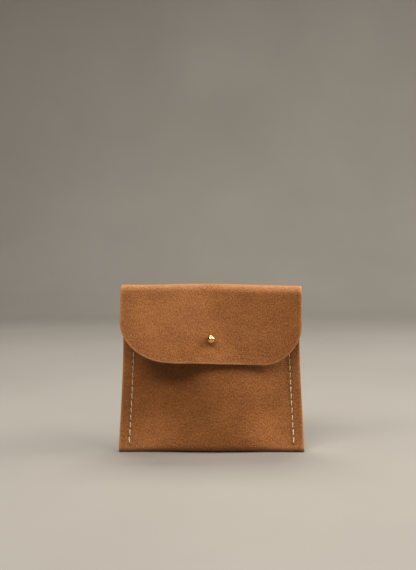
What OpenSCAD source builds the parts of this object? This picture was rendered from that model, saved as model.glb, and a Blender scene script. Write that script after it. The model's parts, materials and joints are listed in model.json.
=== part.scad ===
// Small leather pouch: one strip of leather folded at the base and over the top, saddle stitched
// down both sides, closed by a flap with a keyhole that buttons over a ball stud.
// X runs along the width, -Y is the front, +Z is up. The origin is on the surface that the pouch
// stands on, at the middle of its width, under the middle of its top fold.

/* [Pouch] */
// Width across the base fold
base_w = 105; // [100:0.5:112]
// Width across the pocket where the belly draws the sides in most
waist_w = 100.8; // [99:0.1:104]
// Width across the top fold and the flap
top_w = 101.6; // [101:0.1:106]
// Overall height
height = 95; // [92:0.5:105]
// Thickness of the leather
leather_t = 1.6; // [1.2:0.1:1.8]

/* [Belly] */
// How far the middle of the front panel stands forward of the top fold's middle
front_belly = 11; // [9:0.1:13]
// How far the middle of the back panel stands behind the top fold's middle
back_belly = 7.2; // [6.5:0.1:9]
// How far the side seams come forward where they reach the base
seam_sweep = 9.9; // [7:0.1:11]
// Height over which the seams straighten
seam_fade = 14; // [10:0.5:18]
// Outer radius of the base fold along the front, in the middle of the width
front_fold_r = 3.5; // [3:0.1:4.5]
// Outer radius of the base fold along the back, in the middle of the width
back_fold_r = 4.5; // [3:0.1:5]

/* [Flap] */
// Outer radius of the fold over the top
fold_r = 5.5; // [5:0.1:6.5]
// Height of the flap's lower edge above the ground
flap_low = 51; // [46:0.5:54]
// Radius of the flap's lower corners
flap_corner_r = 20; // [14:0.5:24]
// How far forward the flap leans as it leaves the top fold, in degrees
flap_lean = 15; // [12:0.5:17]
// Height of the pocket's mouth, under the flap
mouth_z = 87; // [84:0.5:88]

/* [Stud] */
// Height at which the stud goes through the front panel
stud_z = 64.3; // [62:0.1:67]
// Diameter of the ball
ball_d = 4.9; // [4.5:0.1:5.2]
// Diameter of the neck between ball and flange
neck_d = 3.4; // [3:0.1:3.8]
// Diameter of the flange on the leather
flange_d = 6.4; // [6:0.1:7.5]
// Thickness of the flange
flange_t = 0.8; // [0.6:0.1:0.9]
// Diameter of the screw's flat head, inside the pocket
screw_head_d = 8; // [7:0.5:9]
// Thickness of the screw's head
screw_head_t = 1; // [0.8:0.1:1.2]
// Diameter of the screw's shank
shank_d = 2; // [1.8:0.1:2.2]
// Diameter of the flap's keyhole
keyhole_d = 6; // [5.9:0.1:6.4]

/* [Stitching] */
// Distance from one stitch hole to the next
stitch_pitch = 4; // [3.5:0.1:5]
// Distance from the edge of the leather to the stitch line
stitch_margin = 6; // [5:0.1:7]
// Height of the lowest stitch hole
stitch_low = 4.4; // [4:0.1:8]
// Diameter of the thread
thread_d = 0.6; // [0.4:0.05:0.7]

/* [Hidden] */
$fn = 64;

leather_colour = [0.62, 0.39, 0.21];
brass_colour = [0.83, 0.66, 0.32];
thread_colour = [0.90, 0.84, 0.72];

// Clearances
seam_gap = 0.1;        // between the two layers that are stitched together
segment_gap = 0.3;     // along the leather's outside, between the parts that turn
shank_gap = 0.05;      // around the screw's shank
flap_stand = 0.3;      // between the stud's flange and the flap
thread_gap = 0.15;     // between a stitch and the leather that it lies on
stitch_top_gap = 2;    // from the highest stitch to the pocket's mouth, at least

// Top fold
fold_z = height - fold_r;
fold_split = 45;                                    // where the leather turns, from front and back
split_half = segment_gap / 2 / fold_r * 180 / PI;   // half a gap, as an angle of the fold

// Pocket
waist_z = 0.67 * height;
front_belly_z = 32;
back_belly_z = 30;
belly_start = 1.5;     // how far inside the stitch line the two layers part
mouth_gap = 0.3;       // between the mouth's edge and the flap's inside
mouth_y = -(fold_r - leather_t + mouth_gap);
seam_back_y = fold_r - leather_t - seam_gap / 2;

// Resolution of the leather
across = [-1, -0.93, -0.86, -0.8, -0.72, -0.6, -0.42, -0.21, 0, 0.21, 0.42, 0.6, 0.72, 0.8, 0.86,
          0.93, 1];
front_steps = 12;
back_steps = 9;
arc_steps = 4;
flap_steps = 14;

function ease(q) = let (c = min(max(q, 0), 1)) c * c * (3 - 2 * c);

// Half the pocket's width at a height
function half_width(z) =
    base_w / 2
    - (base_w - waist_w) / 2 * ease(z / waist_z)
    + (top_w - waist_w) / 2 * ease((z - waist_z) / (fold_z - waist_z));

// The plane between the two layers along a side seam: its place and its slope at a height
function seam_y(z) = seam_back_y - seam_sweep * exp(-z / seam_fade);
function seam_slope(z) = seam_sweep / seam_fade * exp(-z / seam_fade);

// From the seam's plane to the outside of either layer, measured along Y
function skin(z) = seam_gap / 2 + leather_t * sqrt(1 + pow(seam_slope(z), 2));

// The middle of the front and back panels, outside
function front_mid_y(z) =
    -front_belly + (front_belly + mouth_y) * pow((z - front_belly_z) / (mouth_z - front_belly_z), 2);
function back_mid_y(z) =
    back_belly - (back_belly - fold_r) * pow((z - back_belly_z) / (fold_z - back_belly_z), 2);

// How much of the belly there is at a share of the half width: 0 along the seams, 1 in the middle
function belly(u) =
    let (flat = 1 - (stitch_margin + belly_start) / (base_w / 2),
         v = min(abs(u) / flat, 1))
    pow(1 - v * v, 1.4);

function front_y(u, z) =
    let (edge = seam_y(z) - skin(z)) edge - (edge - front_mid_y(z)) * belly(u);
function back_y(u, z) =
    let (edge = seam_y(z) + skin(z)) edge + (back_mid_y(z) - edge) * belly(u);

function front_tilt(u, z) = atan(front_y(u, z + 0.5) - front_y(u, z - 0.5));
function back_tilt(u, z) = atan(back_y(u, z + 0.5) - back_y(u, z - 0.5));

// A point of the leather's outside in the YZ plane, and the direction into the leather
function face_point(u, z, y, tilt, side) =
    [u, y, z, -side * cos(tilt), side * sin(tilt)];
function arc_point(u, cy, cz, r, a) =
    [u, cy + r * cos(a), cz + r * sin(a), -cos(a), -sin(a)];

// The strip's way at a share of the half width: down the front, round the base, up the back and
// into the top fold
function strip_path(u) =
    let (blend = belly(u),
         rf = leather_t + seam_gap / 2 + (front_fold_r - leather_t) * blend,
         rb = leather_t + seam_gap / 2 + (back_fold_r - leather_t) * blend,
         tf = front_tilt(u, rf * 1.3),
         tb = back_tilt(u, rb * 0.7),
         zf = rf * (1 + sin(tf)),
         zb = rb * (1 - sin(tb)),
         yf = front_y(u, zf) + rf * cos(tf),
         yb = max(back_y(u, zb) - rb * cos(tb), yf + 0.02))
    concat(
        [for (i = [0 : front_steps - 1])
            let (z = mouth_z + (zf - mouth_z) * i / front_steps)
            face_point(u, z, front_y(u, z), front_tilt(u, z), -1)],
        [for (i = [0 : arc_steps]) arc_point(u, yf, rf, rf, 180 - tf + (90 + tf) * i / arc_steps)],
        [for (i = [0 : arc_steps]) arc_point(u, yb, rb, rb, 270 + (90 - tb) * i / arc_steps)],
        [for (i = [1 : back_steps - 1])
            let (z = zb + (fold_z - zb) * i / back_steps)
            face_point(u, z, back_y(u, z), back_tilt(u, z), 1)],
        [for (i = [0 : arc_steps])
            arc_point(u, 0, fold_z, fold_r, (fold_split - split_half) * i / arc_steps)]);

// Triangles of a sheet whose outside and inside are grids of rows by columns
function grid(rows, cols, start, flip) =
    [for (i = [0 : rows - 2]) for (j = [0 : cols - 2])
        let (a = start + i * cols + j, b = a + 1, c = a + cols, d = c + 1)
        each (flip ? [[a, c, b], [b, c, d]] : [[a, b, c], [b, d, c]])];

module sheet(paths) {
    rows = len(paths);
    cols = len(paths[0]);
    total = rows * cols;
    outside = [for (p = paths) for (q = p) [q[0] * half_width(q[2]), q[1], q[2]]];
    inside = [for (p = paths) for (q = p)
        [q[0] * half_width(q[2]), q[1] + q[3] * leather_t, q[2] + q[4] * leather_t]];
    edge = concat(
        [for (j = [0 : cols - 1]) j],
        [for (i = [1 : rows - 1]) i * cols + cols - 1],
        [for (j = [cols - 2 : -1 : 0]) (rows - 1) * cols + j],
        [for (i = [rows - 2 : -1 : 1]) i * cols]);
    rim = [for (k = [0 : len(edge) - 1])
        let (a = edge[k], b = edge[(k + 1) % len(edge)])
        each [[b, a, a + total], [b, a + total, b + total]]];
    polyhedron(concat(outside, inside),
        concat(grid(rows, cols, 0, false), grid(rows, cols, total, true), rim));
}

// The flap's outside, from the top fold down
flap_top_y = fold_r * cos(180 - flap_lean);
flap_top_z = fold_z + fold_r * sin(180 - flap_lean);
stud_tilt = front_tilt(0, stud_z);
stud_face_y = front_y(0, stud_z);
flap_stud_y = stud_face_y - flange_t - flap_stand - leather_t;
flap_curve = (flap_stud_y - flap_top_y + tan(flap_lean) * (flap_top_z - stud_z))
    / pow(flap_top_z - stud_z, 2);

function flap_y(z) =
    flap_top_y - tan(flap_lean) * (flap_top_z - z) + flap_curve * pow(flap_top_z - z, 2);
function flap_tilt(z) = atan(tan(flap_lean) - 2 * flap_curve * (flap_top_z - z));

flap_path = concat(
    [for (i = [0 : arc_steps - 1])
        let (start = 180 - fold_split + split_half, a = start + (180 - flap_lean - start) * i / arc_steps)
        arc_point(0, 0, fold_z, fold_r, a)],
    [for (i = [0 : flap_steps])
        let (z = flap_top_z + (flap_low - flap_top_z) * i / flap_steps)
        face_point(0, z, flap_y(z), flap_tilt(z), -1)]);

// Draws what is given in the YZ plane as a solid along X
module along_x(width) {
    rotate([90, 0, 90]) linear_extrude(height = width, center = true) children();
}

// Places what is given on the front panel at the stud, with +Z out of the leather
module at_stud() {
    translate([0, stud_face_y, stud_z]) rotate([90 - stud_tilt, 0, 0]) children();
}

module flap_outline() {
    straight = top_w / 2 - flap_corner_r;
    translate([-top_w / 2, flap_low + flap_corner_r])
        square([top_w, height - flap_low - flap_corner_r]);
    translate([-straight, flap_low])
        square([2 * straight, flap_corner_r + 1]);
    for (side = [-1, 1])
        translate([side * straight, flap_low + flap_corner_r]) circle(r = flap_corner_r);
}

// Slit above the keyhole, which lets the ball through
slit_w = 0.6;
slit_l = 3;

// Stitches: one row on the front and one on the back of each side seam
stitch_count = floor((mouth_z - stitch_top_gap - stitch_low) / stitch_pitch);
function hole_z(i) = stitch_low + i * stitch_pitch;
function stitch_point(side, face, z) =
    [side * (half_width(z) - stitch_margin),
     seam_y(z) + face * (skin(z) + thread_gap + thread_d / 2),
     z];

module stitch(a, b) {
    way = b - a;
    length = norm(way);
    translate(a) rotate([0, acos(way[2] / length), atan2(way[1], way[0])])
        cylinder(d = thread_d, h = length, $fn = 6);
}

module seam_thread(side) {
    color(thread_colour)
        for (face = [-1, 1]) for (i = [0 : stitch_count - 1])
            stitch(stitch_point(side, face, hole_z(i)), stitch_point(side, face, hole_z(i + 1)));
}

module pouch_shell() {
    color(leather_colour) difference() {
        sheet([for (u = across) strip_path(u)]);
        at_stud() translate([0, 0, -2 * leather_t])
            cylinder(d = shank_d + 4 * shank_gap, h = 3 * leather_t);
    }
}

module flap_fold() {
    start = fold_split + split_half;
    color(leather_colour) translate([0, 0, fold_z]) along_x(top_w) difference() {
        intersection() {
            circle(r = fold_r);
            polygon([[0, 0], 2 * fold_r * [cos(start), sin(start)],
                2 * fold_r * [-cos(start), sin(start)]]);
        }
        circle(r = fold_r - leather_t);
    }
}

module flap() {
    last = len(flap_path) - 1;
    color(leather_colour) difference() {
        intersection() {
            along_x(top_w) polygon(concat(
                [for (p = flap_path) [p[1], p[2]]],
                [for (i = [last : -1 : 0]) let (p = flap_path[i])
                    [p[1] + p[3] * leather_t, p[2] + p[4] * leather_t]]));
            rotate([90, 0, 0]) linear_extrude(height = 4 * front_belly, center = true)
                flap_outline();
        }
        at_stud() {
            cylinder(d = keyhole_d, h = 3 * leather_t);
            translate([-slit_w / 2, 0, 0]) cube([slit_w, keyhole_d / 2 + slit_l, 3 * leather_t]);
        }
    }
}

// Ball: its middle's height over the front panel, sunk a little into the flap's keyhole
ball_sink = 0.3;
ball_rise = flange_t + flap_stand + leather_t + ball_d / 2 - ball_sink;
bore_depth = 2.6;

module stud_head() {
    color(brass_colour) at_stud() difference() {
        union() {
            cylinder(d = flange_d, h = flange_t);
            cylinder(d = neck_d, h = ball_rise);
            translate([0, 0, ball_rise]) sphere(d = ball_d);
        }
        translate([0, 0, -1]) cylinder(d = shank_d + 2 * shank_gap, h = bore_depth + 1);
    }
}

// Screwdriver slot, the screw's clearance below the leather and its reach into the head's bore
slot_w = 0.8;
slot_depth = 0.4;
screw_gap = 0.4;
screw_reach = bore_depth - 0.3;

module stud_screw() {
    color(brass_colour) at_stud() translate([0, 0, -leather_t - screw_head_t - screw_gap])
        difference() {
            union() {
                cylinder(d = screw_head_d, h = screw_head_t);
                cylinder(d = shank_d, h = screw_head_t + screw_gap + leather_t + screw_reach);
            }
            translate([-screw_head_d, -slot_w / 2, -1]) cube([2 * screw_head_d, slot_w, 1 + slot_depth]);
        }
}

module left_seam_thread() {
    seam_thread(-1);
}

module right_seam_thread() {
    seam_thread(1);
}

pouch_shell();
flap_fold();
flap();
stud_head();
stud_screw();
left_seam_thread();
right_seam_thread();
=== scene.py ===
"""Looks of a small leather stud pouch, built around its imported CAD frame.

One strip of leather makes the pocket's front, the base fold, the back, the top fold and the flap.
Shapes are worked out in millimetres in the frame's own axes, and turned into metres as meshes are made.
"""
import json
import math

import bmesh
import bpy
import numpy as np
from mathutils import Matrix, Vector, geometry


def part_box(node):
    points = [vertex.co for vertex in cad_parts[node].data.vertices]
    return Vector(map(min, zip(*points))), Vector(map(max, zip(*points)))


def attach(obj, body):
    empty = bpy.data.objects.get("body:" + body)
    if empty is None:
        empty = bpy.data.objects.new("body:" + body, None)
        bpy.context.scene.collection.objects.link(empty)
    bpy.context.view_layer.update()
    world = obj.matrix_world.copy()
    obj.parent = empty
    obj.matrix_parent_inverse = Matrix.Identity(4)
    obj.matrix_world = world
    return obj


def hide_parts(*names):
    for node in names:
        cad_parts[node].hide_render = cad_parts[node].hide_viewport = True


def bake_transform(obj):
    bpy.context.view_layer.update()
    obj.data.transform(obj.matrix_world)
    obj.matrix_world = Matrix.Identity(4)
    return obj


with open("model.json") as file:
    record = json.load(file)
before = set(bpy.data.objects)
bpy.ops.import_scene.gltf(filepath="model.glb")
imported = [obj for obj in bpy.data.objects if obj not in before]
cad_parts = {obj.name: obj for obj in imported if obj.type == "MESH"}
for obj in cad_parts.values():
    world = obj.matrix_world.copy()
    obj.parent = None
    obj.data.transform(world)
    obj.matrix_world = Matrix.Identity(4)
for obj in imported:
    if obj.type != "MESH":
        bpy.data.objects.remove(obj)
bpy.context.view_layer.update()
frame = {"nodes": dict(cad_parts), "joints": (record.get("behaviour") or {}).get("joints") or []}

MM = 0.001


# ---------------------------------------------------------------- sizes from the frame

def corners(node):
    """A CAD node's lowest and highest corner, in millimetres."""
    low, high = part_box(node)
    return Vector(low) / MM, Vector(high) / MM


_, shell_high = corners("pouch_shell")
flap_low, flap_high = corners("flap")
_, fold_high = corners("flap_fold")
thread_low, thread_high = corners("right_seam_thread")
hinges = {j["name"]: Vector(j["pos_m"]) / MM for j in frame["joints"]}

BASE_HALF = shell_high.x                         # half the width at the base fold
TOP_HALF = flap_high.x                           # half the width of the top fold and the flap
FOLD_R = hinges["fold_open"].y * math.sqrt(2)    # outer radius of the top fold
FOLD_Z = fold_high.z - FOLD_R                    # height of the top fold's centre
FLAP_EDGE_Z = flap_low.z                         # the flap's lower edge, in the middle
STUD_Z = 64.3            # where the stud goes through the front panel
STITCH_LOW = thread_low.z + 0.1                  # lowest and highest stitch hole
STITCH_HIGH = thread_high.z - 0.1

LEATHER = 1.6            # thickness of the leather
SEAM_GAP = 0.1           # between the two layers of a seam
WAIST_HALF = BASE_HALF - 2.1
WAIST_Z = 0.67 * fold_high.z
MOUTH_Z = 87.0           # top edge of the front panel, under the flap
FRONT_BELLY, FRONT_BELLY_Z = 11.0, 32.0
BACK_BELLY, BACK_BELLY_Z = 7.2, 30.0
SEAM_SWEEP, SEAM_FADE = 9.9, 14.0
FRONT_FOLD_R, BACK_FOLD_R = 4.8, 4.5
STITCH_MARGIN = 6.0      # from the cut edge to the stitch line
BELLY_START = 1.5        # how far inside the stitch line the layers part
FLAP_LEAN = math.radians(15)
FLAP_LEFT_CORNER, FLAP_RIGHT_CORNER = (26.0, 21.2), (20.3, 20.8)
FLANGE_STAND = 2.7       # from the front panel to the outside of the flap, at the stud
STITCHES = 20            # stitches along each seam
THREAD_R = 0.235
STUD_BORE_R = 1.2        # hole in the front panel for the stud's screw
KEYHOLE_R = 1.95         # hole in the flap that buttons over the ball
KEYHOLE_SLIT = 1.8       # length of the slit above it
SLIT_HALF = 0.035        # half the width of the slit
JOIN_R = 0.004           # edge rounding where the pocket's mesh and the flap's mesh meet

SEAM_BACK_Y = FOLD_R - LEATHER - SEAM_GAP / 2
MOUTH_Y = -(FOLD_R - LEATHER + 0.3)


def ease(q):
    """0 below 0, 1 above 1, and a smooth step between."""
    q = np.clip(q, 0.0, 1.0)
    return q * q * (3 - 2 * q)


def bump_at(x, y, cx, cy, rx, ry):
    """A soft round bump of height 1 at (cx, cy)."""
    return np.exp(-(((x - cx) / rx) ** 2) - (((y - cy) / ry) ** 2))


# ---------------------------------------------------------------- the pocket's surface

def half_width(z):
    """Half the pocket's width, which the belly draws in."""
    return (BASE_HALF + (WAIST_HALF - BASE_HALF) * ease(z / WAIST_Z)
            + (TOP_HALF - WAIST_HALF) * ease((z - WAIST_Z) / (FOLD_Z - WAIST_Z)))


def seam_y(z):
    """The plane between the two layers along a side seam."""
    return SEAM_BACK_Y - SEAM_SWEEP * np.exp(-z / SEAM_FADE)


def skin(z):
    """From that plane to the outside of either layer, along Y."""
    slope = SEAM_SWEEP / SEAM_FADE * np.exp(-z / SEAM_FADE)
    return SEAM_GAP / 2 + LEATHER * np.sqrt(1 + slope ** 2)


def belly(u):
    """How much of the belly there is at a share of the half width."""
    flat = 1 - (STITCH_MARGIN + BELLY_START) / BASE_HALF
    v = np.clip(np.abs(u) / flat, 0, 1)
    return (1 - v * v) ** 1.4


def front_y(u, z):
    """The front's outside, at a share u of the half width."""
    edge = seam_y(z) - skin(z)
    rise = (z - FRONT_BELLY_Z) / (MOUTH_Z - FRONT_BELLY_Z)
    middle = -FRONT_BELLY + (FRONT_BELLY + MOUTH_Y) * rise ** 2
    return edge - (edge - middle) * belly(u)


def back_y(u, z):
    """The back's outside, at a share u of the half width."""
    edge = seam_y(z) + skin(z)
    rise = (z - BACK_BELLY_Z) / (FOLD_Z - BACK_BELLY_Z)
    middle = BACK_BELLY - (BACK_BELLY - FOLD_R) * rise ** 2
    return edge + (middle - edge) * belly(u)


def tilt(face, u, z):
    """How far a face leans from upright, in radians."""
    return np.arctan(face(u, z + 0.5) - face(u, z - 0.5))


def crest_drop(x):
    """How far the top fold lies below its highest point, which is near the middle."""
    left = 0.55 * ease(-x / 40)
    right = 1.35 * ease((x + 8) / 62)
    return left + right


def settle(x, y, z):
    """The small unevenness of the top fold, which the pocket's back and the flap share."""
    return z - crest_drop(x) * ease((z - 78) / 14)


def base_arcs(u):
    """Radii, tilts and centres of the base fold's front and back arcs at a share of the half width."""
    fullness = belly(u)
    front_r = LEATHER + SEAM_GAP / 2 + (FRONT_FOLD_R - LEATHER) * fullness
    back_r = LEATHER + SEAM_GAP / 2 + (BACK_FOLD_R - LEATHER) * fullness
    front_tilt = tilt(front_y, u, front_r * 1.3)
    back_tilt = tilt(back_y, u, back_r * 0.7)
    front_z = front_r * (1 + np.sin(front_tilt))
    back_z = back_r * (1 - np.sin(back_tilt))
    front_c = front_y(u, front_z) + front_r * np.cos(front_tilt)
    back_c = np.maximum(back_y(u, back_z) - back_r * np.cos(back_tilt), front_c + 0.02)
    return front_r, back_r, front_tilt, back_tilt, front_z, back_z, front_c, back_c


def base_length(u):
    """The way round the base fold on the outside."""
    front_r, back_r, front_tilt, back_tilt, _, _, front_c, back_c = base_arcs(u)
    return front_r * (math.pi / 2 + front_tilt) + (back_c - front_c) + back_r * (math.pi / 2 - back_tilt)


# Ways along the strip, in millimetres from the pocket's mouth along its middle
_middle = base_arcs(np.array([0.0]))
WAY_BASE = MOUTH_Z - float(_middle[4][0])                 # the front panel ends
WAY_BACK = WAY_BASE + float(base_length(np.array([0.0]))[0])  # the back panel starts
WAY_FOLD = WAY_BACK + FOLD_Z - float(_middle[5][0])       # the top fold starts
WAY_TOP = WAY_FOLD + FOLD_R * math.pi / 2                 # the top fold's crest


def pocket_relief(x, z, q):
    """Soft hollows and swellings of the pocket's front and back, along Y; forward is negative."""
    front = (3.6 * bump_at(x, z, -27, 22, 19, 11)
             + 1.6 * bump_at(x, z, 31, 22, 17, 11)
             + 0.5 * bump_at(x, z, -2, 26, 13, 12)
             + 0.5 * bump_at(x, z, -27, 44, 18, 18)
             + 0.3 * bump_at(x, z, 22, 46, 16, 13))
    back = (0.5 * bump_at(x, z, -18, 50, 20, 22)
            - 0.4 * bump_at(x, z, 14, 66, 18, 16)
            + 0.4 * bump_at(x, z, 24, 24, 16, 14))
    inside = ease((44 - np.abs(x)) / 10) * ease((z - 4) / 7)
    below_fold = ease((84 - z) / 14)
    return inside * np.select([q < WAY_BASE, q > WAY_BACK], [front, back * below_fold], 0)


def strip_point(s, q):
    """The leather's outside, at s across and q along the strip."""
    u = s / BASE_HALF
    front_r, back_r, front_tilt, back_tilt, front_z, back_z, front_c, back_c = base_arcs(u)
    # down the front
    z0 = MOUTH_Z + (front_z - MOUTH_Z) * np.clip(q / WAY_BASE, 0, 1)
    y0 = front_y(u, z0)
    # round the base
    front_turn = math.pi / 2 + front_tilt
    total = front_r * front_turn + (back_c - front_c) + back_r * (math.pi / 2 - back_tilt)
    run = total * np.clip((q - WAY_BASE) / (WAY_BACK - WAY_BASE), 0, 1)
    a1 = math.pi - front_tilt + run / front_r
    y1, z1 = front_c + front_r * np.cos(a1), front_r + front_r * np.sin(a1)
    flat = run - front_r * front_turn
    y2, z2 = front_c + flat, np.zeros_like(flat)
    turned = run - front_r * front_turn - (back_c - front_c)
    a3 = 1.5 * math.pi + turned / back_r
    y3, z3 = back_c + back_r * np.cos(a3), back_r + back_r * np.sin(a3)
    # up the back
    z4 = back_z + (FOLD_Z - back_z) * np.clip((q - WAY_BACK) / (WAY_FOLD - WAY_BACK), 0, 1)
    y4 = back_y(u, z4)
    # into the top fold
    a5 = np.clip((q - WAY_FOLD) / FOLD_R, 0, math.pi)
    y5, z5 = FOLD_R * np.cos(a5), FOLD_Z + FOLD_R * np.sin(a5)
    where = [q < WAY_BASE, flat < 0, turned < 0, q < WAY_BACK, q < WAY_FOLD]
    y = np.select(where, [y0, y1, y2, y3, y4], y5)
    z = np.select(where, [z0, z1, z2, z3, z4], z5)
    x = u * half_width(z)
    y = y + pocket_relief(x, z, q)
    return np.stack([x, y, settle(x, y, z) * (q > WAY_BACK) + z * (q <= WAY_BACK)], -1)


def normals(point, s, q):
    """Unit normals out of the leather's outside."""
    step = 0.04
    across = point(s + step, q) - point(s - step, q)
    along = point(s, q + step) - point(s, q - step)
    n = np.cross(along, across)
    return n / np.linalg.norm(n, axis=-1, keepdims=True)


# ---------------------------------------------------------------- the flap's surface

FLAP_TOP_Y = -FOLD_R * math.cos(FLAP_LEAN)
FLAP_TOP_Z = FOLD_Z + FOLD_R * math.sin(FLAP_LEAN)
STUD_Y = float(front_y(np.array([0.0]), np.array([STUD_Z]))[0])
FLAP_ARC = FOLD_R * (math.pi / 2 - FLAP_LEAN)
FLAP_SLANT = 0.978       # height lost for each millimetre along the flap
LEAN_RUN = 0.43          # the flap leans along lines that move this far sideways per millimetre down
LEAN_GAIN = 1.09         # strength of the whole lean
SLOPE_STEPS = 24         # steps in which the slope is summed down the flap


def flap_slope(x, h):
    """How steeply the flap comes forward: more on its left half than on its right, past a soft crease."""
    crease_x = -1.0 + 0.0120 * h * h
    left = 0.285 + 0.045 * ease(h / 20) - 0.09 * ease((-x - 38) / 14)
    left = left + 0.07 * bump_at(x, h, -9, 29, 13, 12)
    right = 0.088 + 0.09 * ease((h - 12) / 22) * ease((34 - x) / 24) - 0.10 * ease((x - 36) / 14)
    right = right - 0.13 * ease(h / 7) * bump_at(x, h, crease_x + 3.5, 7, 5, 12)
    return left + (right - left) * ease((x - crease_x + 5) / 10)


def flap_reach(x, h):
    """How far forward of the top fold's front the flap is, at h below it."""
    reach = np.zeros_like(h)
    for i in range(SLOPE_STEPS):
        above = h * (i + 0.5) / SLOPE_STEPS
        reach = reach + flap_slope(x + LEAN_RUN * (h - above), above) * h / SLOPE_STEPS
    return reach * LEAN_GAIN


STUD_DROP = FLAP_TOP_Z - STUD_Z      # from the top fold's front down to the stud
_free_reach = flap_reach(np.array([0.0]), np.array([STUD_DROP]))[0]
STUD_PUSH = float(FLAP_TOP_Y - _free_reach - (STUD_Y - FLANGE_STAND))    # how far the stud holds it out


def flap_point(s, v):
    """The flap's outside, at s across and v along it from the top fold's crest."""
    a = math.pi / 2 + np.clip(v, -FOLD_R, FLAP_ARC) / FOLD_R
    y0, z0 = FOLD_R * np.cos(a), FOLD_Z + FOLD_R * np.sin(a)
    h = np.maximum(v - FLAP_ARC, 0) * FLAP_SLANT
    width, height = np.where(s < 0, 36, 14), np.where(h < STUD_DROP, 16, 40)
    pushed = ease(h / 8) * bump_at(s, h, 0, STUD_DROP, width, height)
    y1 = FLAP_TOP_Y - flap_reach(s, h) - STUD_PUSH * pushed
    y = np.where(v < FLAP_ARC, y0, y1)
    z = np.where(v < FLAP_ARC, z0, FLAP_TOP_Z - h)
    return np.stack([s, y, settle(s, y, z)], -1)


# ---------------------------------------------------------------- leather meshes

def ring_offsets(front_r, back_r):
    """The section of a cut edge: how far in from the edge and how deep, outside to inside."""
    turns = np.linspace(0, math.pi / 2, 5)
    outer = [(front_r * (1 - math.sin(a)), front_r * (1 - math.cos(a))) for a in turns]
    inner = [(back_r * (1 - math.cos(a)), LEATHER - back_r * (1 - math.sin(a))) for a in turns]
    return outer + inner


def inward(loop, hole):
    """Unit directions into the leather at the points of a closed loop."""
    d = np.roll(loop, -1, 0) - np.roll(loop, 1, 0)
    d /= np.linalg.norm(d, axis=1, keepdims=True)
    n = np.stack([-d[:, 1], d[:, 0]], -1)
    area = np.sum(loop[:, 0] * np.roll(loop[:, 1], -1) - loop[:, 1] * np.roll(loop[:, 0], -1))
    return n if (area > 0) != hole else -n


def inside(loop, p):
    """Which points lie inside a closed loop."""
    a, b = loop, np.roll(loop, -1, 0)
    found = np.zeros(len(p), bool)
    for (ax, ay), (bx, by) in zip(a, b):
        crosses = (ay > p[:, 1]) != (by > p[:, 1])
        with np.errstate(divide="ignore", invalid="ignore"):
            at = (bx - ax) * (p[:, 1] - ay) / (by - ay) + ax
        found ^= crosses & (p[:, 0] < at)
    return found


def near(loop, p, reach):
    """Which points lie within reach of a loop's points."""
    low, high = loop.min(0) - reach, loop.max(0) + reach
    picked = np.all((p > low) & (p < high), axis=1)
    found = np.zeros(len(p), bool)
    for i in np.nonzero(picked)[0]:
        found[i] = np.min(np.sum((loop - p[i]) ** 2, axis=1)) < reach * reach
    return found


def flat_rims(loops):
    """The loops drawn in by their outer rounding: points, edges, and what is known of each loop."""
    flat, edges, rims = [], [], []
    for loop, front_r, back_r, hole in loops:
        n = inward(loop, hole)
        front = np.broadcast_to(front_r, len(loop))
        start, count = len(flat), len(loop)
        flat.extend(loop + n * front[:, None])
        edges.extend((start + i, start + (i + 1) % count) for i in range(count))
        rims.append((start, count, loop, n, front, np.broadcast_to(back_r, count), hole))
    return flat, edges, rims


def within(loops, fill):
    """The fill points that lie on the leather, clear of its holes."""
    keep = np.ones(len(fill), bool)
    for loop, front_r, _, hole in loops:
        if hole:
            keep &= ~inside(loop, fill) & ~near(loop, fill, float(np.max(front_r)) + 0.22)
        else:
            keep &= inside(loop, fill)
    return fill[keep]


def triangles(name, flat, edges, rims):
    """Triangles between the points, without those that would close a hole or lie past an edge."""
    made = geometry.delaunay_2d_cdt([Vector(p) for p in flat], edges, [], 0, 1e-6)
    if len(made[0]) != len(flat):
        raise RuntimeError(f"{name}: {len(flat)} points became {len(made[0])}")
    order = [ids[0] for ids in made[3]]
    tris = np.array([[order[i] for i in f] for f in made[2]])
    flat = np.array([tuple(p) for p in flat])
    centres = flat[tris].mean(1)
    keep = np.ones(len(tris), bool)
    for start, count, *_, hole in rims:
        ring = np.all((tris >= start) & (tris < start + count), axis=1)
        within_ring = inside(flat[start:start + count], centres[ring])
        keep[ring] &= ~within_ring if hole else within_ring
    return flat, tris[keep]


def closed_sheet(flat, tris, rims):
    """Places in the strip's plane, depths and faces of a sheet: outside, inside, and rounded rims."""
    total = len(flat)
    plane = [flat.copy(), flat.copy()]
    depth = [np.zeros(total), np.full(total, LEATHER)]
    faces = [tuple(int(i) for i in t[::-1]) for t in tris]
    faces += [tuple(int(i) + total for i in t) for t in tris]
    new = 2 * total
    for start, count, loop, n, front, back, _ in rims:
        plane[1][start:start + count] = loop + n * back[:, None]
        sections = np.array([ring_offsets(f, b) for f, b in zip(front, back)])
        index = [np.arange(start, start + count)]
        for k in range(1, sections.shape[1] - 1):
            plane.append(loop + n * sections[:, k, :1])
            depth.append(sections[:, k, 1])
            index.append(np.arange(new, new + count))
            new += count
        index.append(np.arange(start, start + count) + total)
        for low, high in zip(index, index[1:]):
            for i in range(count):
                j = (i + 1) % count
                faces.append((int(low[i]), int(low[j]), int(high[j]), int(high[i])))
    return np.concatenate(plane), np.concatenate(depth), faces


def plate(name, point, loops, fill, dent, marks):
    """A closed leather mesh. loops: [(points, outer radius, inner radius, is a hole)] in the strip's
    plane; fill: points between them; dent: depth pressed into the outside; marks: vertex attributes."""
    flat, edges, rims = flat_rims(loops)
    flat.extend(within(loops, fill))
    flat, tris = triangles(name, flat, edges, rims)
    plane, depth, faces = closed_sheet(flat, tris, rims)
    s, q = plane[:, 0], plane[:, 1]
    outside = point(s, q)
    pressed = dent(s, q) * (1 - depth / LEATHER)
    places = outside - normals(point, s, q) * (depth + pressed)[:, None]
    return mesh_object(name, places, faces, marks(s, q, depth, outside))


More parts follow.
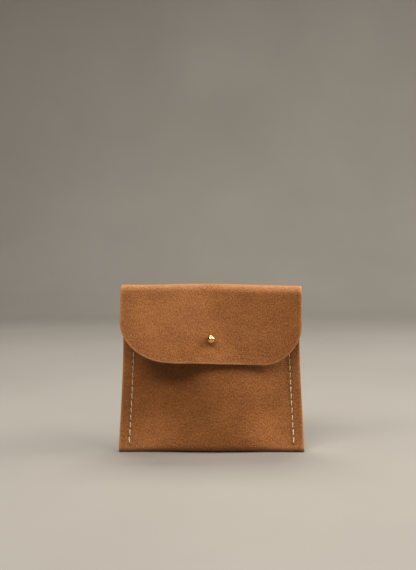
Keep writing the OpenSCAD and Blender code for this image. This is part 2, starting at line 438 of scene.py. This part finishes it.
def mesh_object(name, places, faces, marks):
    """A smooth object from places in millimetres, with its faces turned outwards."""
    mesh = bpy.data.meshes.new(name)
    mesh.from_pydata([tuple(p) for p in places * MM], [], faces)
    mesh.update()
    bm = bmesh.new()
    bm.from_mesh(mesh)
    bmesh.ops.recalc_face_normals(bm, faces=bm.faces)
    bm.to_mesh(mesh)
    bm.free()
    mesh.polygons.foreach_set("use_smooth", np.ones(len(mesh.polygons), bool))
    add_marks(mesh, marks)
    obj = bpy.data.objects.new(name, mesh)
    bpy.context.scene.collection.objects.link(obj)
    return obj


def add_marks(mesh, marks):
    """Vertex attributes that the materials read: numbers or vectors by name."""
    for key, values in marks.items():
        kind = "FLOAT_VECTOR" if values.ndim == 2 else "FLOAT"
        attribute = mesh.attributes.new(key, kind, "POINT")
        field = "vector" if values.ndim == 2 else "value"
        attribute.data.foreach_set(field, values.astype(np.float32).ravel())


def line(a, b, spacing):
    """Points from a towards b, b left out."""
    a, b = np.array(a, float), np.array(b, float)
    count = max(1, int(round(np.linalg.norm(b - a) / spacing)))
    return a + (b - a) * (np.arange(count) / count)[:, None]


def arc(cx, cy, r, start, end, spacing):
    """Points on an arc from start to end in radians, the end left out."""
    count = max(2, int(round(abs(end - start) * r / spacing)))
    a = start + (end - start) * np.arange(count) / count
    return np.stack([cx + r * np.cos(a), cy + r * np.sin(a)], -1)


def grid_points(low, high, spacing, shake):
    """Rows of points in a rectangle, every other row shifted, each moved a little."""
    rows = int((high[1] - low[1]) / (spacing * 0.9))
    columns = int((high[0] - low[0]) / spacing)
    random = np.random.default_rng(7)
    found = []
    for i in range(1, rows):
        shift = 0.5 * (i % 2)
        x = low[0] + (np.arange(1, columns) + shift) * (high[0] - low[0]) / columns
        y = np.full(len(x), low[1] + i * (high[1] - low[1]) / rows)
        found.append(np.stack([x, y], -1))
    found = np.concatenate(found)
    return found + random.uniform(-shake, shake, found.shape)


# ---------------------------------------------------------------- stitch holes

def way_of_front(u, z):
    """How far along the strip the front is at height z."""
    return WAY_BASE * (MOUTH_Z - z) / (MOUTH_Z - base_arcs(u)[4])


def way_of_back(u, z):
    """How far along the strip the back is at height z."""
    back_z = base_arcs(u)[5]
    return WAY_BACK + (WAY_FOLD - WAY_BACK) * (z - back_z) / (FOLD_Z - back_z)


HOLE_Z = np.linspace(STITCH_LOW, STITCH_HIGH, STITCHES + 1)
HOLE_LONG, HOLE_WIDE = 0.50, 0.22     # half axes of the slanting awl hole
HOLE_SLANT = math.radians(32)
FAR = 99.0                            # a distance at which nothing is felt
BURNISH_REACH = 0.7                   # how far the burnish runs in from a cut edge
STRETCH_HIGHLIGHT_REACH = 4.5                   # how far the pale stretched grain and painted highlight run from the top fold's crest


def hole_place(side, face, z):
    """Where in the strip's plane a stitch hole lies. side is -1 or 1, face -1 in front, 1 behind."""
    u = side * (1 - STITCH_MARGIN / half_width(z))
    way = way_of_front if face < 0 else way_of_back
    return np.stack([u * BASE_HALF, way(u, z)], -1)


def hole_loop(centre, face):
    """The outline of a slanting awl hole."""
    a = np.linspace(0, 2 * math.pi, 12, endpoint=False)
    local = np.stack([HOLE_WIDE * np.cos(a), HOLE_LONG * np.sin(a)], -1)
    turn = HOLE_SLANT * face
    c, s = math.cos(turn), math.sin(turn)
    return centre + local @ np.array([[c, s], [-s, c]])


SEAMS = [(side, face) for side in (-1, 1) for face in (-1, 1)]
HOLES = {(side, face): hole_place(side, face, HOLE_Z) for side, face in SEAMS}


def seam_offset(s, q):
    """Distance to the nearest stitch line, and to the nearest hole along it."""
    off = np.full(len(s), FAR)
    along = np.full(len(s), FAR)
    for holes in HOLES.values():
        order = np.argsort(holes[:, 1])
        line_s = np.interp(q, holes[order, 1], holes[order, 0], left=10 * FAR, right=10 * FAR)
        d = np.abs(s - line_s)
        k = np.clip(np.searchsorted(holes[order, 1], q), 1, len(order) - 1)
        near_hole = np.minimum(np.abs(q - holes[order, 1][k]), np.abs(q - holes[order, 1][k - 1]))
        along = np.where(d < off, near_hole, along)
        off = np.minimum(off, d)
    return off, along


def stitch_dent(s, q):
    """The crease that the tight thread presses into the leather, deeper at the holes."""
    off, along = seam_offset(s, q)
    return 0.17 * np.exp(-(off / 0.55) ** 2) + 0.16 * np.exp(-(off / 0.8) ** 2 - (along / 0.7) ** 2)


def crest_pale_highlight(s):
    """How pale the top fold is, from stretched grain and a painted highlight; less where the flap's
    crease starts.
    """
    return 1 - 0.6 * np.exp(-((s - 2) / 6) ** 2)


def flesh_side(depth):
    """1 on the leather's rough inside, 0 on its grain side."""
    return ease((depth / LEATHER - 0.55) / 0.4)


def shell_marks(s, q, depth, outside):
    """Where the pocket's leather is burnished or rough, where painted shade darkens it along the stitch
    lines, and where its grain is pale and carries a painted highlight at the top fold.
    """
    off, _ = seam_offset(s, q)
    to_edge = np.minimum(BASE_HALF - np.abs(s), np.where(q < WAY_BASE, q, FAR))
    burnish = np.exp(-(np.maximum(to_edge, 0) / BURNISH_REACH) ** 2)
    return {
        "strip": np.stack([outside[:, 0], q, depth], -1),
        "burnish": burnish,
        "flesh": flesh_side(depth) * (1 - burnish),
        # painted shade in the creases along the stitch lines
        "press": np.exp(-(off / 0.9) ** 2) * (1 - depth / LEATHER),
        # pale stretched grain and painted highlight on the top fold's crest
        "stretch": crest_pale_highlight(s) * np.exp(-((q - WAY_TOP) / STRETCH_HIGHLIGHT_REACH) ** 2),
    }


# ---------------------------------------------------------------- pocket

def stitch_fill():
    """Extra points along the stitch lines, where the leather is creased."""
    found = []
    for holes in HOLES.values():
        order = np.argsort(holes[:, 1])
        q = np.arange(holes[order[0], 1] - 1, holes[order[-1], 1] + 1, 0.5)
        for off in (-1.3, -0.85, -0.5, -0.22, 0.22, 0.5, 0.85, 1.3):
            shift = 0.25 if abs(off) in (0.22, 0.85) else 0
            s = np.interp(q + shift, holes[order, 1], holes[order, 0])
            found.append(np.stack([s + off, q + shift], -1))
    return np.concatenate(found)


def shell_outline():
    return np.concatenate([
        line((-BASE_HALF, 0), (BASE_HALF, 0), 1.3),
        line((BASE_HALF, 0), (BASE_HALF, WAY_TOP), 1.0),
        line((BASE_HALF, WAY_TOP), (-BASE_HALF, WAY_TOP), 1.3),
        line((-BASE_HALF, WAY_TOP), (-BASE_HALF, 0), 1.0)])


def shell_loops():
    """The outline, the stitch holes and the stud's hole, each with its edge's roundings. The sewn
    edges are hardly rounded inside, where the two layers meet."""
    edge = shell_outline()
    at_top = edge[:, 1] > WAY_TOP - 0.01
    sewn = np.abs(edge[:, 0]) > BASE_HALF - 0.01
    above_seam = ease((edge[:, 1] - WAY_FOLD + 6) / 4)
    front_r = np.where(at_top, JOIN_R, 0.55)
    back_r = np.where(at_top, JOIN_R, np.where(sewn, 0.14 + 0.36 * above_seam, 0.5))
    loops = [(edge, front_r, back_r, False)]
    for (side, face), holes in HOLES.items():
        loops += [(hole_loop(centre, face * side), 0.06, 0.06, True) for centre in holes]
    stud_way = float(way_of_front(np.array([0.0]), np.array([STUD_Z]))[0])
    loops.append((arc(0.0, stud_way, STUD_BORE_R, 0, 2 * math.pi, 0.35), 0.08, 0.08, True))
    return loops


def shell_fill():
    """Points between the shell's loops: even rows, closer ones round the base and along the seams."""
    fill = grid_points((-BASE_HALF, 0), (BASE_HALF, WAY_TOP), 1.25, 0.12)
    off, _ = seam_offset(fill[:, 0], fill[:, 1])
    clear_of_edge = (fill[:, 1] < WAY_TOP - 1.0) & (BASE_HALF - np.abs(fill[:, 0]) > 1.1)
    fill = fill[(off > 1.7) & clear_of_edge & (fill[:, 1] > 1.1)]
    fill = fill[(fill[:, 1] < WAY_BASE - 2) | (fill[:, 1] > WAY_BACK + 2)]
    top_rows = [line((-BASE_HALF + 1, WAY_TOP - gap), (BASE_HALF - 1, WAY_TOP - gap), 1.3)
                for gap in (0.06, 0.6)]
    base_rows = [line((-BASE_HALF + 1.2, q), (BASE_HALF - 1.2, q), 1.25)
                 for q in np.arange(WAY_BASE - 1.5, WAY_BACK + 1.5, 0.62)]
    return np.concatenate([fill, stitch_fill(), *top_rows, *base_rows])


def make_shell():
    return plate("pouch_leather", strip_point, shell_loops(), shell_fill(), stitch_dent, shell_marks)


# ---------------------------------------------------------------- flap

FLAP_DROP = (FLAP_TOP_Z - FLAP_EDGE_Z) / FLAP_SLANT + FLAP_ARC    # the flap's length in the middle
FLAP_EDGE_TILT = 0.066   # how much lower the flap's edge gets for each millimetre to the right
FLAP_EDGE_TRIM = 0.55    # how much shorter the flap is than that
CORNER_POWER = 1.82      # of the lower corners' curve, where 2 is an ellipse
STUD_WAY = (STUD_DROP - 0.27) / FLAP_SLANT + FLAP_ARC             # the keyhole's middle


def corner(wide, high, spacing):
    """A quarter of a slightly flattened ellipse, from its side (0, 0) to its foot (wide, high)."""
    a = np.linspace(0, math.pi / 2, int(1.5 * (wide + high) / 2 / spacing), endpoint=False)
    x = wide * (1 - np.cos(a) ** (2 / CORNER_POWER))
    return np.stack([x, high * np.sin(a) ** (2 / CORNER_POWER)], -1)


def flap_foot(x):
    """How far along the flap its lower edge lies."""
    return FLAP_DROP - FLAP_EDGE_TRIM + FLAP_EDGE_TILT * x


def flap_outline():
    """The flap's outline, from the top fold's crest down to its round lower corners."""
    half = TOP_HALF
    left, right = -half + FLAP_LEFT_CORNER[0], half - FLAP_RIGHT_CORNER[0]
    left_top = flap_foot(left) - FLAP_LEFT_CORNER[1]
    right_top = flap_foot(right) - FLAP_RIGHT_CORNER[1]
    left_corner = np.array([-half, left_top]) + corner(*FLAP_LEFT_CORNER, 1.0)
    right_corner = np.array([half, right_top]) + corner(*FLAP_RIGHT_CORNER, 1.0) * np.array([-1, 1])
    return np.concatenate([
        line((-half, 0), (half, 0), 1.3),
        line((half, 0), (half, right_top), 1.0),
        right_corner,
        line((right, flap_foot(right)), (left, flap_foot(left)), 1.2),
        np.array([[left, flap_foot(left)]]),
        left_corner[:0:-1],
        line((-half, left_top), (-half, 0), 1.0)])


def keyhole():
    """A round hole with a closed slit above it, from which the leather stretches over the ball."""
    start = math.asin(SLIT_HALF / KEYHOLE_R)
    round_part = arc(0, STUD_WAY, KEYHOLE_R, -math.pi / 2 + start, 1.5 * math.pi - start, 0.4)
    foot = STUD_WAY - KEYHOLE_R
    top = foot - KEYHOLE_SLIT
    middle = top + KEYHOLE_SLIT / 2
    sides = [(-SLIT_HALF, foot), (-SLIT_HALF, middle), (-SLIT_HALF, top),
             (SLIT_HALF, top), (SLIT_HALF, middle)]
    return np.concatenate([round_part, np.array(sides)])


def flap_marks(s, q, depth, outside):
    """The same for the flap, with a ring of painted shade round the ball at its keyhole."""
    outline = flap_outline()
    free = outline[outline[:, 1] > 0.01]
    to_edge = np.array([np.min(np.hypot(free[:, 0] - a, free[:, 1] - b)) for a, b in zip(s, q)])
    to_edge = np.where(inside(outline, np.stack([s, q], -1)), to_edge, 0)
    burnish = np.exp(-(to_edge / BURNISH_REACH) ** 2)
    return {
        "strip": np.stack([outside[:, 0], q + WAY_TOP, depth], -1),
        "burnish": burnish,
        "flesh": flesh_side(depth) * (1 - burnish),
        # painted shade in a ring round the ball
        "press": 0.6 * np.exp(-((np.hypot(s, q - STUD_WAY) - 2.6) / 0.9) ** 2) * (1 - depth / LEATHER),
        # pale stretched grain and painted highlight on the top fold's crest
        "stretch": crest_pale_highlight(s) * np.exp(-(q / STRETCH_HIGHLIGHT_REACH) ** 2),
    }


def no_dent(s, q):
    return np.zeros(len(s))


def make_flap():
    outline = flap_outline()
    at_top = outline[:, 1] < 0.01
    front_r = np.where(at_top, JOIN_R, 0.34)
    loops = [(outline, front_r, front_r, False), (keyhole(), 0.02, 0.02, True)]
    fill = grid_points((-TOP_HALF, 0), (TOP_HALF, flap_foot(TOP_HALF)), 1.15, 0.12)
    fill = fill[(fill[:, 1] > 1.0) & ~near(outline, fill, 0.95)]
    rows = [line((-TOP_HALF + 1, gap), (TOP_HALF - 1, gap), 1.3) for gap in (0.06, 0.6)]
    fill = np.concatenate([fill, *rows])
    return plate("flap_leather", flap_point, loops, fill, no_dent, flap_marks)


# ---------------------------------------------------------------- thread

def tube(path, widths, heights, ups, twist_turns, phase):
    """Places and faces of a thread of three plies along path, closed at its ends."""
    sides, plies = 12, 3
    path = np.array(path)
    forward = np.gradient(path, axis=0)
    forward /= np.linalg.norm(forward, axis=1, keepdims=True)
    sideways = np.cross(path[-1] - path[0], ups)
    sideways /= np.linalg.norm(sideways, axis=1, keepdims=True)
    up = np.cross(sideways, forward)
    a = np.linspace(0, 2 * math.pi, sides, endpoint=False)
    verts = []
    length = np.concatenate([[0], np.cumsum(np.linalg.norm(np.diff(path, axis=0), axis=1))])
    for i in range(len(path)):
        ply = 1 + 0.13 * np.cos(plies * a - twist_turns * length[i] * 2 * math.pi + phase)
        ring = (path[i] + np.outer(np.cos(a) * ply * widths[i], sideways[i])
                + np.outer(np.sin(a) * ply * heights[i], up[i]))
        verts.extend(ring)
    faces = []
    for i in range(len(path) - 1):
        for k in range(sides):
            m = (k + 1) % sides
            faces.append((i * sides + k, i * sides + m, (i + 1) * sides + m, (i + 1) * sides + k))
    faces.append(tuple(range(sides))[::-1])
    faces.append(tuple((len(path) - 1) * sides + k for k in range(sides)))
    return verts, faces, length


def surface_at(places):
    """The creased leather's outside and its normals at places in the strip's plane."""
    s, q = places[:, 0], places[:, 1]
    n = normals(strip_point, s, q)
    return strip_point(s, q) - n * stitch_dent(s, q)[:, None], n


# A stitch by its share of the way from hole to hole, and how far out of the leather it is there
STITCH_WAY = np.array([0.03, 0.04, 0.07, 0.11, 0.155, 0.20, 0.28, 0.39, 0.5,
                       0.61, 0.72, 0.80, 0.845, 0.89, 0.93, 0.96, 0.97])
_rise = [-1.25, -0.85, -0.5, -0.22, 0.02, 0.16, 0.23, 0.25]
STITCH_RISE = np.array([*_rise, 0.25, *_rise[::-1]])


def one_stitch(side, face, i, lift, shift, random):
    """The path of a stitch from hole i to the next: up out of the leather, along it, and down again."""
    holes = HOLES[side, face]
    slant = 0.17 * side * face
    a, b = holes[i], holes[i + 1]
    places = a + (b - a) * STITCH_WAY[:, None]
    places[:, 0] += slant * (1 - 2 * STITCH_WAY) + shift + random.uniform(-0.03, 0.03)
    base, n = surface_at(places)
    rise = STITCH_RISE * (1 + 0.5 * lift) + lift * (STITCH_RISE > 0) * 0.3
    path = base + n * rise[:, None]
    full = np.clip((STITCH_RISE + 0.6) / 0.7, 0, 1)
    widths = THREAD_R * (0.75 + 0.35 * full)
    heights = THREAD_R * (0.75 + 0.15 * full)
    return path, widths, heights, n


def make_thread(name, side):
    """All of one seam's stitches, in front and behind, the lowest two sewn twice."""
    random = np.random.default_rng(11 + side)
    verts, faces, marks = [], [], []
    runs = [(face, i, 0.0, 0.0) for face in (-1, 1) for i in range(STITCHES)]
    runs += [(face, i, 0.8, 0.16 * side) for face in (-1, 1) for i in (0, 1)]
    for face, i, lift, shift in runs:
        path, widths, heights, n = one_stitch(side, face, i, lift, shift, random)
        ring_verts, ring_faces, length = tube(path, widths, heights, n, 0.9, random.uniform(0, 6.28))
        start = len(verts)
        verts.extend(ring_verts)
        faces.extend(tuple(start + k for k in ring_face) for ring_face in ring_faces)
        around = len(ring_verts) // len(length)
        marks.extend((at + 7.3 * i, k, face) for at in length for k in range(around))
    return mesh_object(name, np.array(verts), faces, {"strip": np.array(marks, float)})


# ---------------------------------------------------------------- materials

class Nodes:
    """A material's node tree, with short ways to add and join nodes."""

    def __init__(self, name):
        self.material = bpy.data.materials.new(name)
        self.material.use_nodes = True
        self.tree = self.material.node_tree
        self.shader = self.tree.nodes["Principled BSDF"]

    def add(self, kind, inputs=None, **settings):
        """A new node, with sockets joined or values set."""
        node = self.tree.nodes.new(kind)
        for key, value in settings.items():
            setattr(node, key, value)
        for key, value in (inputs or {}).items():
            socket = node.inputs[key]
            if isinstance(value, bpy.types.NodeSocket):
                self.tree.links.new(value, socket)
            else:
                socket.default_value = value
        return node

    def mark(self, name, field="Fac"):
        """A vertex attribute of the mesh."""
        return self.add("ShaderNodeAttribute", attribute_name=name).outputs[field]

    def noise(self, where, scale, detail=3.0, rough=0.5):
        inputs = {"Vector": where, "Scale": scale, "Detail": detail, "Roughness": rough}
        return self.add("ShaderNodeTexNoise", inputs).outputs["Fac"]

    def math(self, kind, a, b=0.5, clamp=False):
        return self.add("ShaderNodeMath", {0: a, 1: b}, operation=kind, use_clamp=clamp).outputs[0]

    def span(self, value, low, high, to_low=0.0, to_high=1.0):
        """A value stretched from one range to another."""
        inputs = {"Value": value, "From Min": low, "From Max": high, "To Min": to_low, "To Max": to_high}
        return self.add("ShaderNodeMapRange", inputs).outputs["Result"]

    def mix(self, factor, a, b):
        node = self.add("ShaderNodeMix", data_type="RGBA")
        for socket, value in ((node.inputs[0], factor), (node.inputs[6], a), (node.inputs[7], b)):
            if isinstance(value, bpy.types.NodeSocket):
                self.tree.links.new(value, socket)
            else:
                socket.default_value = value if isinstance(value, float) else (*value, 1.0)
        return node.outputs[2]

    def bump(self, height, distance, strength=1.0, under=None):
        inputs = {"Height": height, "Distance": distance, "Strength": strength}
        if under is not None:
            inputs["Normal"] = under
        return self.add("ShaderNodeBump", inputs).outputs["Normal"]

    def set(self, **values):
        """Sockets or values for the shader, by name with _ for a space."""
        for key, value in values.items():
            socket = self.shader.inputs[key.replace("_", " ")]
            if isinstance(value, bpy.types.NodeSocket):
                self.tree.links.new(value, socket)
            else:
                socket.default_value = value


# Leather colours, in linear light
TAN_LIGHT = (0.450, 0.190, 0.050)
TAN_DARK = (0.225, 0.082, 0.0178)
TAN_EDGE = (0.520, 0.255, 0.105)       # the burnished cut edge
TAN_PALE_HIGHLIGHT = (0.660, 0.370, 0.170)       # where the grain is stretched over the top fold, with a painted highlight there
FLESH_LIGHT = (0.52, 0.34, 0.20)       # the rough inside
FLESH_DARK = (0.38, 0.22, 0.115)


class Leather(Nodes):
    """Pebbled tan leather: grain outside, suede inside, burnished edges. Lengths are millimetres along
    the strip, which the strip attribute gives, so the grain follows the leather round its bends."""

    def __init__(self):
        super().__init__("tan_leather")
        self.strip = self.mark("strip", "Vector")
        self.slanted = self.add("ShaderNodeMapping", {"Vector": self.strip, "Rotation": (0, 0, 0.6),
                                                      "Scale": (1.0, 0.72, 1.0)}).outputs["Vector"]
        self.burnish, self.flesh = self.mark("burnish"), self.mark("flesh")
        self.pebble = self.noise(self.slanted, 1.25, 3.0, 0.68)
        self.fibres = self.noise(self.strip, 1.7, 5.0, 0.7)
        self.set(Base_Color=self.colour(), Roughness=self.roughness(), Normal=self.relief())
        self.shader.inputs["Specular IOR Level"].default_value = 0.38
        self.shader.inputs["Sheen Weight"].default_value = 0.06
        self.shader.inputs["Sheen Roughness"].default_value = 0.6

    def colour(self):
        clouds = self.span(self.noise(self.strip, 0.045, 3.0, 0.55), 0.3, 0.7)
        mottle = self.noise(self.strip, 0.28, 4.0, 0.6)
        tone = self.math("ADD", self.math("MULTIPLY", clouds, 0.42), self.math("MULTIPLY", mottle, 0.46))
        tone = self.math("ADD", tone, self.span(self.pebble, 0.3, 0.7, -0.58, 0.58), clamp=True)
        grain = self.mix(tone, TAN_DARK, TAN_LIGHT)
        # painted shade by the stitches and round the ball, toward the dark tan
        grain = self.mix(self.math("MULTIPLY", self.mark("press"), 0.35), grain, TAN_DARK)
        # pale stretched grain and painted highlight on the top fold
        grain = self.mix(self.math("MULTIPLY", self.mark("stretch"), 0.38), grain, TAN_PALE_HIGHLIGHT)
        edge_tone = self.span(self.noise(self.strip, 0.9, 3.0), 0.3, 0.7, 0.55, 0.95)
        grain = self.mix(self.math("MULTIPLY", self.burnish, edge_tone), grain, TAN_EDGE)
        suede = self.mix(self.span(self.fibres, 0.3, 0.7), FLESH_DARK, FLESH_LIGHT)
        return self.mix(self.flesh, grain, suede)

    def roughness(self):
        rough = self.span(self.pebble, 0.3, 0.7, 0.50, 0.66)
        rough = self.math("SUBTRACT", rough, self.math("MULTIPLY", self.burnish, 0.14))
        return self.math("ADD", rough, self.math("MULTIPLY", self.flesh, 0.35), clamp=True)

    def relief(self):
        """Broad unevenness, pebbles parted by creases, then pores and fibres."""
        cells = self.add("ShaderNodeTexVoronoi", {"Vector": self.slanted, "Scale": 1.15,
                                                  "Randomness": 0.95},
                         feature="SMOOTH_F1").outputs["Distance"]
        creases = self.add("ShaderNodeTexVoronoi", {"Vector": self.slanted, "Scale": 0.9},
                           feature="DISTANCE_TO_EDGE").outputs["Distance"]
        height = self.math("MULTIPLY", self.pebble, 0.8)
        height = self.math("ADD", height, self.math("MULTIPLY", cells, -0.5))
        height = self.math("ADD", height, self.math("MULTIPLY", self.span(creases, 0.0, 0.16), 0.4))
        smooth_edge = self.math("SUBTRACT", 1.0, self.math("MULTIPLY", self.burnish, 0.75))
        height = self.math("MULTIPLY", height, smooth_edge)
        fine = self.math("ADD", self.noise(self.strip, 3.4, 2.0, 0.6),
                         self.math("MULTIPLY", self.fibres, self.flesh))
        normal = self.bump(self.noise(self.strip, 0.16, 3.0), 0.0006, 0.5)
        normal = self.bump(height, 0.00034, 1.0, normal)
        return self.bump(fine, 0.00005, 0.8, normal)


def thread_material():
    """Cream waxed linen, a little dirty in places."""
    m = Nodes("waxed_thread")
    place = m.mark("strip", "Vector")
    fuzz = m.noise(place, 1.4, 4.0, 0.7)
    dirt = m.noise(place, 0.12, 2.0)
    colour = m.mix(m.span(fuzz, 0.3, 0.7), (0.56, 0.43, 0.29), (0.86, 0.77, 0.63))
    colour = m.mix(m.span(dirt, 0.45, 0.75, 0.0, 0.45), colour, (0.52, 0.36, 0.22))
    normal = m.bump(fuzz, 0.00008, 0.8)
    m.set(Base_Color=colour, Roughness=m.span(fuzz, 0.3, 0.7, 0.5, 0.72), Normal=normal)
    m.shader.inputs["Sheen Weight"].default_value = 0.25
    return m.material


def brass_material():
    """Polished brass with faint tarnish and fine scratches."""
    m = Nodes("polished_brass")
    place = m.add("ShaderNodeTexCoord").outputs["Object"]
    tarnish = m.noise(place, 420.0, 4.0, 0.6)
    stretched = m.add("ShaderNodeMapping", {"Vector": place, "Scale": (9000.0, 9000.0, 700.0)})
    scratches = m.noise(stretched.outputs["Vector"], 1.0, 3.0, 0.6)
    colour = m.mix(m.span(tarnish, 0.35, 0.75), (0.86, 0.66, 0.30), (0.70, 0.47, 0.17))
    rough = m.math("ADD", m.span(tarnish, 0.3, 0.8, 0.13, 0.26), m.span(scratches, 0.5, 0.9, 0.0, 0.08))
    m.set(Base_Color=colour, Roughness=rough, Normal=m.bump(scratches, 0.000004, 0.4))
    m.shader.inputs["Metallic"].default_value = 1.0
    return m.material


def floor_material():
    """Plain pale paper."""
    m = Nodes("pale_floor")
    place = m.add("ShaderNodeTexCoord").outputs["Object"]
    soft = m.noise(place, 6.0, 4.0)
    m.set(Base_Color=m.mix(m.span(soft, 0.3, 0.7), (0.325, 0.302, 0.27), (0.350, 0.326, 0.292)))
    m.shader.inputs["Roughness"].default_value = 0.85
    return m.material


# ---------------------------------------------------------------- the object


def place_shell(leather):
    """The pocket's leather, in place of the CAD shell and top fold, which are hidden."""
    shell = make_shell()
    shell.data.materials.append(leather)
    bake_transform(shell)
    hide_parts("pouch_shell", "flap_fold")


def place_flap(leather):
    """The flap's leather, in place of the CAD flap, which is hidden."""
    flap = make_flap()
    flap.data.materials.append(leather)
    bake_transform(flap)
    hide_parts("flap")


def place_threads(linen):
    """Each seam's stitches stay on the pocket."""
    for name, side in (("left_seam_thread", -1), ("right_seam_thread", 1)):
        thread = make_thread(name.replace("seam_thread", "seam_stitches"), side)
        thread.data.materials.append(linen)
        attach(thread, "root")
        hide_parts(name)


def dress_stud(brass):
    """The stud's own CAD parts are shown."""
    for node in ("stud_head", "stud_screw"):
        part = frame["nodes"][node]
        part.data.materials.clear()
        part.data.materials.append(brass)


tan_leather = Leather().material
place_shell(tan_leather)
place_flap(tan_leather)
place_threads(thread_material())
dress_stud(brass_material())


# ---------------------------------------------------------------- stage, lights and camera

def make_stage():
    """A pale floor that sweeps up into a wall behind."""
    half, front, bend, top, r = 2.2, -2.2, 0.75, 1.9, 0.35
    profile = [(front, 0.0), (-0.4, 0.0), (0.3, 0.0)]
    profile += [(bend + r * math.sin(a), r - r * math.cos(a)) for a in np.linspace(0, math.pi / 2, 16)]
    profile.append((bend + r, top))
    verts = [(side * half, y, z) for y, z in profile for side in (-1, 1)]
    faces = [(2 * i, 2 * i + 1, 2 * i + 3, 2 * i + 2) for i in range(len(profile) - 1)]
    mesh = bpy.data.meshes.new("floor")
    mesh.from_pydata(verts, [], faces)
    mesh.polygons.foreach_set("use_smooth", np.ones(len(faces), bool))
    mesh.materials.append(floor_material())
    floor = bpy.data.objects.new("floor", mesh)
    bpy.context.scene.collection.objects.link(floor)


SOFT_WHITE = (1.0, 0.985, 0.96)
AIM = Vector((0, 0, 0.05))        # the object's middle


def area_light(name, azimuth, elevation, distance, size, power):
    """A soft light aimed at the object, from an angle right of the front and an angle above the floor."""
    around, up = math.radians(azimuth), math.radians(elevation)
    way = Vector((math.sin(around) * math.cos(up), -math.cos(around) * math.cos(up), math.sin(up)))
    data = bpy.data.lights.new(name, "AREA")
    data.shape = "RECTANGLE"
    data.size, data.size_y = size
    data.energy = power
    data.color = SOFT_WHITE
    light = bpy.data.objects.new(name, data)
    light.location = AIM + way * distance
    light.rotation_euler = (-way).to_track_quat("-Z", "Y").to_euler()
    bpy.context.scene.collection.objects.link(light)


def make_world():
    """A faint cool fill from all round."""
    world = bpy.data.worlds.new("studio")
    world.use_nodes = True
    background = world.node_tree.nodes["Background"]
    background.inputs["Color"].default_value = (0.94, 0.97, 1.0, 1.0)
    background.inputs["Strength"].default_value = 0.03
    bpy.context.scene.world = world


CAMERA_AT = Vector((6.4, -452.09, 119.68))      # in millimetres
CAMERA_DOWN, CAMERA_LEFT, CAMERA_ROLL = (math.radians(a) for a in (3.22, 1.03, -0.18))


def make_camera():
    """In front of the object, a little above its top."""
    data = bpy.data.cameras.new("camera")
    data.lens = 50.53
    camera = bpy.data.objects.new("camera", data)
    camera.matrix_world = (Matrix.Translation(CAMERA_AT * MM)
                           @ Matrix.Rotation(CAMERA_LEFT, 4, "Z")
                           @ Matrix.Rotation(math.pi / 2 - CAMERA_DOWN, 4, "X")
                           @ Matrix.Rotation(CAMERA_ROLL, 4, "Z"))
    bpy.context.scene.collection.objects.link(camera)
    bpy.context.scene.camera = camera


make_stage()
area_light("front_soft", -25, 48, 1.3, (1.2, 0.40), 15.0)
area_light("right_soft", 66, 45, 1.3, (0.8, 0.8), 9.7)
area_light("side_fill", 90, 25, 1.3, (0.6, 0.6), 8.8)
area_light("top_back", 180, 68, 0.9, (0.6, 0.4), 6.0)
make_world()
make_camera()
bpy.context.scene.view_settings.view_transform = "Standard"
bpy.context.scene.view_settings.gamma = 0.8      # a little more contrast, as a camera gives
